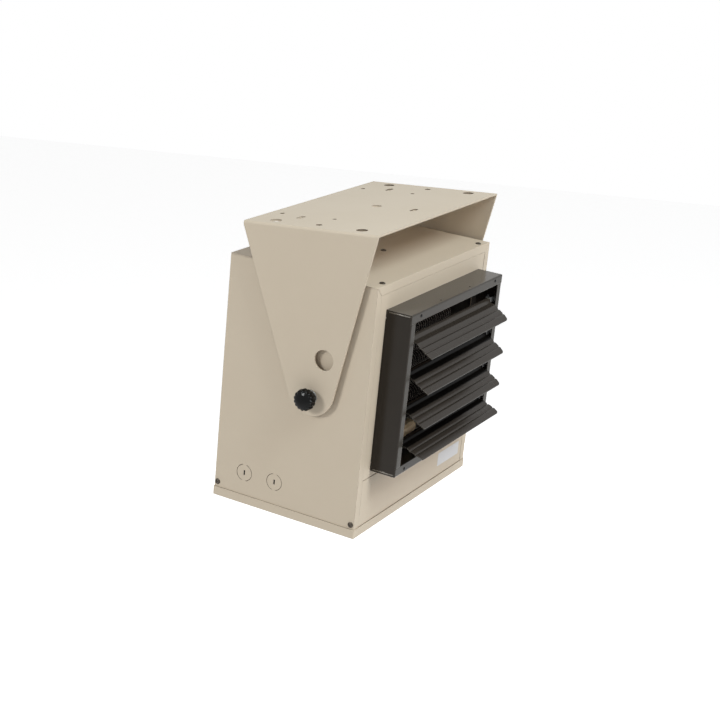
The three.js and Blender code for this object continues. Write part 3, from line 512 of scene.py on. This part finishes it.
def scatter_tree():
    """Instances a template on points that carry a 'turn' attribute, and makes them real."""
    tree = bpy.data.node_groups.new("scatter_fasteners", "GeometryNodeTree")
    socket(tree, "Geometry", "NodeSocketGeometry")
    socket(tree, "Template", "NodeSocketObject")
    socket(tree, "Material", "NodeSocketMaterial")
    socket(tree, "Spin Range", "NodeSocketFloat", 3.1)
    socket(tree, "Seed", "NodeSocketInt", 7)
    socket(tree, "Geometry", "NodeSocketGeometry", out=True)
    new, link = tree.nodes.new, tree.links.new
    given = new("NodeGroupInput")
    result = new("NodeGroupOutput")
    template = new("GeometryNodeObjectInfo")
    link(given.outputs["Template"], template.inputs["Object"])
    turn = new("GeometryNodeInputNamedAttribute")
    turn.data_type = "FLOAT_VECTOR"
    turn.inputs["Name"].default_value = "turn"
    base = new("FunctionNodeEulerToRotation")
    link(turn.outputs["Attribute"], base.inputs["Euler"])
    chance = new("FunctionNodeRandomValue")
    chance.data_type = "FLOAT"
    link(given.outputs["Spin Range"], chance.inputs[3])
    link(given.outputs["Seed"], chance.inputs["Seed"])
    spin = new("FunctionNodeAxisAngleToRotation")
    spin.inputs["Axis"].default_value = (0, 0, 1)
    link(chance.outputs[1], spin.inputs["Angle"])
    turned = new("FunctionNodeRotateRotation")
    turned.rotation_space = "LOCAL"
    link(base.outputs["Rotation"], turned.inputs["Rotation"])
    link(spin.outputs["Rotation"], turned.inputs["Rotate By"])
    place = new("GeometryNodeInstanceOnPoints")
    link(given.outputs["Geometry"], place.inputs["Points"])
    link(template.outputs["Geometry"], place.inputs["Instance"])
    link(turned.outputs["Rotation"], place.inputs["Rotation"])
    real = new("GeometryNodeRealizeInstances")
    link(place.outputs["Instances"], real.inputs["Geometry"])
    paint = new("GeometryNodeSetMaterial")
    link(real.outputs["Geometry"], paint.inputs["Geometry"])
    link(given.outputs["Material"], paint.inputs["Material"])
    link(paint.outputs["Geometry"], result.inputs["Geometry"])
    return tree


SCATTER = scatter_tree()


def scatter(name, template_mesh, spots, look, body):
    """Copies the template to each spot: (point in row metres, outward direction)."""
    points = bpy.data.meshes.new(name + "_points")
    points.from_pydata([tuple(p) for p, _ in spots], [], [])
    turns = points.attributes.new("turn", "FLOAT_VECTOR", "POINT")
    for i, (_, direction) in enumerate(spots):
        turns.data[i].vector = Vector(direction).to_track_quat("Z", "Y").to_euler()
    template = bpy.data.objects.new(name + "_template", template_mesh)
    bpy.context.collection.objects.link(template)
    holder = bpy.data.objects.new(name + "_holder", points)
    bpy.context.collection.objects.link(holder)
    modifier = holder.modifiers.new("scatter", "NODES")
    modifier.node_group = SCATTER
    given = {"Template": template, "Material": look}
    for item in SCATTER.interface.items_tree:
        if item.in_out == "INPUT" and item.name in given:
            modifier[item.identifier] = given[item.name]
    bpy.context.view_layer.update()
    graph = bpy.context.evaluated_depsgraph_get()
    mesh = bpy.data.meshes.new_from_object(holder.evaluated_get(graph))
    mesh.name = name
    bpy.data.objects.remove(holder)
    bpy.data.objects.remove(template)
    return add_object(name, mesh, look, body)


def screw_template(radius, height, recess=True):
    """Pan head on Z = 0, with a cross recess or plain as on a rivet. Sizes in mm."""
    r, h = radius / 1000, height / 1000

    def build(bm):
        profile = [(0, -0.0006), (r * 0.5, -0.0006), (r, 0), (r, h * 0.35), (r * 0.93, h * 0.68),
                   (r * 0.72, h * 0.92), (r * 0.46, h), (0, h)]
        lathe(bm, profile, 24)
    mesh = mesh_from("screw", build)
    return cut_recess(mesh, r, h) if recess else mesh


def cut_recess(mesh, r, h):
    """Cuts two crossed bars into the top of a head."""
    head = bpy.data.objects.new("head", mesh)
    bpy.context.collection.objects.link(head)
    cutters = []
    for size in ((r * 1.2, r * 0.3, h * 1.6), (r * 0.3, r * 1.2, h * 1.6)):
        def bar(bm, size=size):
            add_box(bm, size, (0, 0, h * 0.98))
        cutter = bpy.data.objects.new("bar", mesh_from("bar", bar))
        bpy.context.collection.objects.link(cutter)
        cutters.append(cutter)
        cut = head.modifiers.new("cut", "BOOLEAN")
        cut.operation = "DIFFERENCE"
        cut.object = cutter
        cut.solver = "EXACT"
    bpy.context.view_layer.update()
    graph = bpy.context.evaluated_depsgraph_get()
    result = bpy.data.meshes.new_from_object(head.evaluated_get(graph))
    for extra in [head, *cutters]:
        bpy.data.objects.remove(extra)
    return result


def hex_template(across, height):
    """Hexagon washer head screw standing on Z = 0. Sizes in mm."""
    a, h = across / 2000 / math.cos(math.radians(30)), height / 1000

    def build(bm):
        washer = [(0, -0.0004), (a * 1.28, -0.0004), (a * 1.30, 0.0004), (a * 1.2, 0.0008),
                  (0, 0.0008)]
        lathe(bm, washer, 28)
        lathe(bm, [(0, 0.0004), (a, 0.0005), (a, h * 0.8), (a * 0.86, h), (0, h)], 6)
    return mesh_from("hex_screw", build)


# ---------------------------------------------------------------- pieces

def casing_screws():
    spots = []
    for sign in (-1, 1):
        x = sign * CASE_X
        spots.append((case(x, REAR - 5.4, BASE + 22.8), Vector((sign, 0, 0))))
        spots.append((case(x, FRONT + 6.0, BASE + 21.5), Vector((sign, 0, 0))))
    for x, y in ((-163, -81), (167, -81), (4, 8)):
        spots.append((case(x, y, TOP), UP))
    for x in (-167, 167):
        for z in (BASE + 30, BASE + 215, TOP - 24):
            spots.append((case(x, REAR, z), BACKWARD))
    scatter("casing_screws", screw_template(4.7, 1.9), spots, SCREW, "heater")


def frame_rivets():
    spots = [(case(x, FRONT - 36.7, FRAME_TOP), UP) for x in (-51, 51)]
    spots += [(case(x, FRONT - 36.7, FRAME_LOW), -UP) for x in (-51, 51)]
    rivet = screw_template(1.9, 0.7, recess=False)
    scatter("frame_rivets", rivet, spots, BRONZE, "heater")


def knock_out_rings():
    """Fills the knock-outs' slits and pry slots to just below the surface, in dark colours that paint
    the shade inside them.
    """
    def build(bm):
        turn = CASE_TURN.to_4x4() @ Matrix.Rotation(-math.pi / 2, 4, "Y")
        for y in KNOCK_OUTS:
            spot = Matrix.Translation(case(-CASE_X, y, KNOCK_OUT_Z)) @ turn
            for start in (0, 1):
                add_arc(bm, spot, 13.28, 14.02, -1.0, -0.3, math.radians(15 + 180 * start),
                        math.radians(165 + 180 * start))
    add_object("knock_out_rings", mesh_from("knock_out_rings", build), SHADOW_GAP, "heater")

    # A black block in each pry slot paints the shade inside it.
    def slots(bm):
        for y in KNOCK_OUTS:
            middle = case(-CASE_X + 0.6, y, KNOCK_OUT_Z)
            add_box(bm, (0.0009, 0.00245, 0.0078), middle, CASE_TURN)
        bmesh.ops.bevel(bm, geom=bm.edges[:], offset=0.0003, segments=2, affect="EDGES")
    add_object("pry_slots", mesh_from("pry_slots", slots), GLOSS, "heater")


def add_arc(bm, spot, inner, outer, low, high, start, end, steps=40):
    """A closed arc of rectangular section, turned about the local Z axis, sizes in mm."""
    rows = []
    for k in range(steps + 1):
        angle = start + (end - start) * k / steps
        row = []
        for r, h in ((inner, low), (outer, low), (outer, high), (inner, high)):
            point = Vector((r * math.cos(angle), r * math.sin(angle), h)) / 1000
            row.append(bm.verts.new(spot @ point))
        rows.append(row)
    skin(bm, rows)


def frame_screws():
    spots = [(case(x, FRAME_FACE + 0.1, z), FORWARD)
             for x in (-129, 133) for z in (FRAME_TOP - 6, FRAME_LOW + 6)]
    scatter("frame_screws", screw_template(2.4, 1.2), spots, GLOSS, "heater")


def guard_screws():
    spots = []
    for i in range(4):
        angle = (i + 0.5) * math.pi / 2
        x = (FAN_R + 23) * math.cos(angle)
        z = FAN_Z + (FAN_R + 23) * math.sin(angle)
        spots.append((case(x, REAR + 3.3, z), BACKWARD))
    scatter("guard_screws", hex_template(7.0, 2.6), spots, ZINC, "heater")


def pan_screws():
    spots = []
    for sign in (-1, 1):
        for y in (-60, 136):
            spots.append((case(sign * 160, y, BASE), -UP))
    scatter("pan_screws", screw_template(3.6, 1.7), spots, SCREW, "heater")


def fin_profile():
    """Section of the spiral fin: radius, offset along the tube, share of the crimp."""
    return ((FIN_ROOT, -FIN_HALF, 0.2), (FIN_R, -FIN_HALF, 1), (FIN_R, FIN_HALF, 1),
            (FIN_ROOT, FIN_HALF, 0.2))


def finned_run(bm, z, x0, x1):
    """A straight tube along X with a crimped spiral fin."""
    along_x = Matrix.Rotation(math.pi / 2, 4, "Y")
    spot = CASE_TO_ROW @ Matrix.Translation((0, ELEMENT_Y / 1000, z / 1000)) @ along_x
    tube = [(0, x0), (TUBE_R, x0), (TUBE_R, x1), (0, x1)]
    lathe(bm, [(r / 1000, h / 1000) for r, h in tube], 18, spot)
    rows = []
    for k in range(int(2 * FIN_REACH / FIN_PITCH) * FIN_STEPS + 1):
        angle = 2 * math.pi * k / FIN_STEPS + z
        x = -FIN_REACH + FIN_PITCH * k / FIN_STEPS
        wave = FIN_CRIMP * math.sin(angle * 5.5)
        row = []
        for r, side, sway in fin_profile():
            y = ELEMENT_Y + r * math.cos(angle)
            row.append(bm.verts.new(case(x + side + wave * sway, y, z + r * math.sin(angle))))
        rows.append(row)
    skin(bm, rows)


def return_bend(bm, x, middle, steps=14, around_steps=16):
    """The half circle of tube that joins two runs."""
    rings = []
    for k in range(steps + 1):
        angle = -math.pi / 2 + math.pi * k / steps
        out = Vector((math.cos(angle), 0, math.sin(angle)))
        centre = Vector((x, ELEMENT_Y, middle)) + out * RUN_GAP / 2
        loop = []
        for i in range(around_steps):
            a = 2 * math.pi * i / around_steps
            point = centre + out * TUBE_R * math.cos(a) + Vector((0, TUBE_R * math.sin(a), 0))
            loop.append(bm.verts.new(case(*point)))
        rings.append(loop)
    skin(bm, rings)


def finned_element(index):
    """A hairpin of two finned runs."""
    x0, x1 = -CASE_X + 12, CASE_X - 31
    low, high = [(run - HAIRPINS + 0.5) * RUN_GAP + FAN_Z - 8 for run in (2 * index, 2 * index + 1)]

    def build(bm):
        finned_run(bm, low, x0, x1)
        finned_run(bm, high, x0, x1)
        return_bend(bm, x1 - 0.5, (low + high) / 2)
    name = f"finned_element_{index + 1}"
    piece = add_object(name, mesh_from(name, build), ELEMENT, "heater", 40)
    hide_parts(f"heating_element_{index + 1}")


def rounded_path(points, reach, steps=4):
    """The same open path with each corner turned into a short curve."""
    path = [Vector(points[0])]
    for before, corner, after in zip(points, points[1:], points[2:]):
        before, corner, after = Vector(before), Vector(corner), Vector(after)
        a = min(reach, (corner - before).length * 0.45)
        b = min(reach, (after - corner).length * 0.45)
        start = corner + (before - corner).normalized() * a
        end = corner + (after - corner).normalized() * b
        for k in range(steps + 1):
            t = k / steps
            path.append(start * (1 - t) ** 2 + corner * 2 * t * (1 - t) + end * t ** 2)
    path.append(Vector(points[-1]))
    return path


def offset_path(path, distance):
    moved = []
    for i, point in enumerate(path):
        along = path[min(i + 1, len(path) - 1)] - path[max(i - 1, 0)]
        side = Vector((-along.y, along.x)).normalized()
        moved.append(point + side * distance)
    return moved


def louver_blade(index):
    """A rolled sheet blade: curled rear edge, two sharp grooves, trimmed corners, ears and pins."""
    c = LOUVER_CHORD
    centre = [(0.045, -0.055), (0.06, 0.02), (0.03, 0.052), (-0.06, 0.052), (-0.15, -0.008),
              (-0.34, 0.046), (-0.475, 0.03), (-0.505, -0.006), (-0.56, 0.033), (-0.705, 0.028),
              (-0.735, -0.006), (-0.785, 0.03), (-0.98, 0.012), (-1.0, -0.03)]
    path = rounded_path([(a * c, b * c) for a, b in centre], 1.1, 5)
    top, under = offset_path(path, -BLADE_T / 2), offset_path(path, BLADE_T / 2)
    turn = Matrix.Rotation(math.radians(LOUVER_SET[index]), 4, "X")
    z = LOUVER_TOP - LOUVER_PITCH * index
    spot = CASE_TO_ROW @ Matrix.Translation((0, LOUVER_Y / 1000, z / 1000)) @ turn

    def place(bm, x, a, b):
        return bm.verts.new(spot @ Vector((x / 1000, a / 1000, b / 1000)))

    def build(bm):
        rows = []
        for sign in (-1, 1):
            ends = []
            for edge in (top, under):
                reach = [min(BLADE_HALF, BLADE_HALF - 4 + p.x + c) for p in edge]
                ends.append([place(bm, sign * r, p.x, p.y) for r, p in zip(reach, edge)])
            rows.append(ends)
        (tl, ul), (tr, ur) = rows
        for i in range(len(tl) - 1):
            bm.faces.new((tl[i], tr[i], tr[i + 1], tl[i + 1]))
            bm.faces.new((ul[i + 1], ur[i + 1], ur[i], ul[i]))
            bm.faces.new((tl[i], tl[i + 1], ul[i + 1], ul[i]))
            bm.faces.new((ur[i], ur[i + 1], tr[i + 1], tr[i]))
        for i in (0, -1):
            bm.faces.new((tl[i], ul[i], ur[i], tr[i]))
        ear = [(0.085, -0.05), (0.07, 0.05), (0, 0.08), (-0.14, 0.005), (-0.1, -0.09), (0.02, -0.1)]
        for sign in (-1, 1):
            inner = [place(bm, sign * (BLADE_HALF - 1.3), a * c, b * c) for a, b in ear]
            outer = [place(bm, sign * (BLADE_HALF - 0.1), a * c, b * c) for a, b in ear]
            skin(bm, [inner, outer])
            pin = [(0, 137.7), (2.2, 137.7), (2.2, 139), (3.3, 139.1), (3.4, 140), (2.2, 140.2),
                   (2.2, 156.4), (1.7, 157), (0, 157)]
            along = spot @ Matrix.Rotation(sign * math.pi / 2, 4, "Y")
            lathe(bm, [(r / 1000, h / 1000) for r, h in pin], 20, along)
    name, body = f"ribbed_blade_{index + 1}", f"louver_{index + 1}"
    piece = add_object(name, mesh_from(name, build), BLADE, body, 40)
    # A second material paints shade on the rear faces of blades 2 to 4.
    piece.data.materials.append(BLADE_PAINTED_SHADE)
    # Four faces to a step of the path, the upper one first. The first blade gets no painted shade.
    for i in range(len(top) - 1 if index else 0):
        if -0.38 * c < (top[i].x + top[i + 1].x) / 2 < -0.03 * c:
            piece.data.polygons[4 * i].material_index = 1
    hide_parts(body)


def ring(bm, spot, radius, wire, steps, around_steps=8):
    """A closed round wire about the local Z axis, sizes in mm."""
    rows = []
    for k in range(steps):
        a = 2 * math.pi * k / steps
        row = []
        for i in range(around_steps):
            b = 2 * math.pi * i / around_steps
            r = radius + wire * math.cos(b)
            point = Vector((r * math.cos(a), r * math.sin(a), wire * math.sin(b))) / 1000
            row.append(bm.verts.new(spot @ point))
        rows.append(row)
    skin(bm, rows, closed=True)


def wire_guard():
    """Rear guard: closely spaced rings welded to three crossed bars, a centre disc and four eyes."""
    facing = CASE_TO_ROW @ Matrix.Translation((0, GUARD_Y / 1000, FAN_Z / 1000))
    facing = facing @ Matrix.Rotation(-math.pi / 2, 4, "X")

    def build(bm):
        for k in range(10):
            radius = GUARD_R - k * 12.4
            ring(bm, facing, radius, 1.6 if k == 0 else 1.25, 96 if k < 6 else 64)
        lathe(bm, [(0, 0.0002), (0.0165, 0.0002), (0.018, 0.0008), (0.018, 0.0018), (0.0165, 0.0026),
                   (0.012, 0.0031), (0, 0.0034)], 48, facing)
        for i in range(3):
            turn = Matrix.Rotation(i * math.pi / 3, 4, "Z") @ Matrix.Rotation(math.pi / 2, 4, "Y")
            lift = Matrix.Translation((0, 0, 0.0023))
            reach = (GUARD_R + 0.3) / 1000
            lathe(bm, [(0, -reach), (0.0016, -reach), (0.0016, reach), (0, reach)], 12,
                  facing @ lift @ turn)
        for i in range(4):
            a = (i + 0.5) * math.pi / 2
            spot = facing @ Matrix.Translation(
                ((GUARD_R + 3) / 1000 * math.cos(a), (GUARD_R + 3) / 1000 * math.sin(a), 0)
            )
            lathe(bm, [(0, -0.002), (0.0056, -0.002), (0.006, -0.0016), (0.006, 0.0006),
                       (0.0056, 0.001), (0, 0.001)], 28, spot)
    piece = add_object("wire_guard", mesh_from("wire_guard", build), GUARD, "heater", 50)
    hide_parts("rear_guard")


def joint_lines():
    """Dark filler in the seam where the pan meets the side panels: a thin line of painted shade."""
    def build(bm):
        for sign in (-1, 1):
            corners = []
            for x in (CASE_X - 0.6, CASE_X + 0.07):
                for z in (PAN_TOP - 0.2, PAN_TOP + 0.35):
                    corners.append((sign * x, z))
            a, b, d, c = corners
            front = [bm.verts.new(case(x, FRONT + 1.5, z)) for x, z in (a, b, c, d)]
            back = [bm.verts.new(case(x, REAR - 1.5, z)) for x, z in (a, b, c, d)]
            skin(bm, [front, back])
    add_object("joint_lines", mesh_from("joint_lines", build), SHADOW_GAP, "heater")


def frame_beads():
    """Rolled edges where the louver frame's stiles meet its rails, in a light metal that paints their
    highlight.
    """
    def build(bm):
        for sign in (-1, 1):
            for z in (FRAME_TOP - 3.0, FRAME_LOW + 3.0):
                start, end = FRONT - 5, FRAME_FACE + 3
                middle = case(sign * 158.55, start, z)
                along = case(sign * 158.55, end, z) - middle
                spot = Matrix.Translation(middle) @ along.to_track_quat("Z", "X").to_matrix().to_4x4()
                length = along.length
                lathe(bm, [(0, 0), (0.0006, 0), (0.0009, 0.0008), (0.0009, length - 0.0008),
                           (0.0006, length), (0, length)], 16, spot)
    add_object("frame_beads", mesh_from("frame_beads", build), BEAD_PAINTED_HIGHLIGHT, "heater", 50)


def outlet_trim():
    """A thin dark lining on the front panel around the outlet, inside the louver frame: painted shade
    over the panel's light cut edge.
    """
    x0, x1 = 145.7, 156.6
    z0, z1, z2, z3 = FRAME_LOW + 2.2, FRAME_LOW + 13.3, FRAME_TOP - 13.3, FRAME_TOP - 2.2

    def build(bm):
        outer = [(-x1, z0), (x1, z0), (x1, z3), (-x1, z3)]
        inner = [(-x0, z1), (x0, z1), (x0, z2), (-x0, z2)]
        loops = []
        for y in (FRONT - 0.9, FRONT - 0.1):
            loops.append([[bm.verts.new(case(x, y, z)) for x, z in loop] for loop in (outer, inner)])
        (front_outer, front_inner), (back_outer, back_inner) = loops
        skin(bm, [front_outer, front_inner, back_inner, back_outer], closed=True)
    add_object("outlet_trim", mesh_from("outlet_trim", build), HEAT_TINT_AND_SHADE, "heater")


def heat_shields():
    """Thin dark sheets with rivets, between the outlet's edges and the element uprights: painted
    shade over the lit parts behind.
    """
    y, z = FRONT + 16.3, 20.5

    def build(bm):
        for sign in (-1, 1):
            add_box(bm, (0.0008, 0.0282, 0.249), case(sign * 153.0, y, z), CASE_TURN)
            for k in range(5):
                spot = case(sign * 152.5, y, z + (k - 2) * 52)
                turn = Matrix.Translation(spot) @ Matrix.Rotation(-sign * math.pi / 2, 4, "Y")
                lathe(bm, [(0, 0), (0.0024, 0), (0.0022, 0.0007), (0.0013, 0.0011), (0, 0.0012)],
                      16, turn)
    add_object("heat_shields", mesh_from("heat_shields", build), HEAT_TINT_AND_SHADE, "heater")


def clamp_knob(sign):
    """Moulded hand knob: rounded lobes round the rim and a low domed face."""
    def flute(r, h, angle):
        if r < 0.0128 or h < 0.0062:
            return r
        depth = 0.0023 * min(1.0, (r - 0.0128) / 0.003)
        return r - depth * (1 - abs(math.sin(angle * KNOB_LOBES / 2)) ** 0.8)
    profile = [(0, 0.3), (9.8, 0.3), (10.4, 0.9), (10.9, 3), (12.4, 6.0), (14.2, 6.6), (15.6, 7.4),
               (16.5, 8.8), (17.0, 10.6), (17.1, 13), (17.0, 16.4), (16.7, 18.4), (16.1, 19.9),
               (15.2, 21.0), (14.2, 21.65), (13.2, 22.1), (12.0, 22.58), (10.8, 23.06), (9.6, 23.5),
               (8.2, 23.9), (6.0, 24.27), (3, 24.5), (0, 24.55)]

    def build(bm):
        turn = Matrix.Rotation(sign * math.pi / 2, 4, "Y")
        spot = CASE_TO_ROW @ Matrix.Translation((sign * KNOB_START / 1000, 0, 0)) @ turn
        lathe(bm, [(r / 1000, h / 1000) for r, h in profile], 192, spot, flute)
    tag = "right" if sign > 0 else "left"
    mesh = mesh_from("hand_knob", build)
    piece = add_object(f"hand_knob_{tag}", mesh, GLOSS, f"knob_{tag}", 60)
    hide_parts(f"pivot_knob_{tag}")


def hole_liners():
    """Painted shade: dark walls inside the holes of the mounting plate, just below its painted face.
    """
    def build(bm):
        for x, y, half_x, half_y, r, depth in PLATE_HOLES:
            loops = []
            for inset, z in ((0.0, -0.04), (0.0, -depth), (0.34, -depth), (0.34, -0.04)):
                loop = []
                for sx, sy, start in ((1, 1, 0), (-1, 1, 90), (-1, -1, 180), (1, -1, 270)):
                    for k in range(9):
                        a = math.radians(start + 90 * k / 8)
                        px = x + sx * (half_x - r) + (r - inset) * math.cos(a)
                        py = PLATE_Y + y + sy * (half_y - r) + (r - inset) * math.sin(a)
                        loop.append(bm.verts.new((px / 1000, py / 1000, z / 1000)))
                loops.append(loop)
            skin(bm, loops, closed=True)
        bmesh.ops.remove_doubles(bm, verts=bm.verts[:], dist=1e-6)
        bmesh.ops.dissolve_degenerate(bm, dist=1e-7, edges=bm.edges[:])
    add_object("hole_liners", mesh_from("hole_liners", build), SHADOW_GAP, "bracket")


def blank_label():
    """The plain sticker low on the front panel, left blank."""
    y = FRONT - 0.12

    def build(bm):
        x0, x1, z0, z1, r = 88, 166, BASE + 31.5, BASE + 54.5, 1.5
        corners = []
        for cx, cz, start in ((x1 - r, z0 + r, -90), (x1 - r, z1 - r, 0), (x0 + r, z1 - r, 90),
                              (x0 + r, z0 + r, 180)):
            for k in range(5):
                a = math.radians(start + 90 * k / 4)
                corners.append((cx + r * math.cos(a), cz + r * math.sin(a)))
        front = [bm.verts.new(case(a, y, b)) for a, b in corners]
        back = [bm.verts.new(case(a, y + 0.1, b)) for a, b in corners]
        skin(bm, [front, back])
    add_object("blank_sticker", mesh_from("blank_sticker", build), STICKER, "heater")


make_camera()
make_lights()
make_floor()
dress_nodes()
casing_screws()
frame_rivets()
frame_screws()
knock_out_rings()
guard_screws()
pan_screws()
for number in range(HAIRPINS):
    finned_element(number)
for number in range(len(LOUVER_SET)):
    louver_blade(number)
wire_guard()
frame_beads()
outlet_trim()
heat_shields()
joint_lines()
for sign in (-1, 1):
    clamp_knob(sign)
hole_liners()
blank_label()

scene = bpy.context.scene
scene.view_settings.view_transform = "Standard"
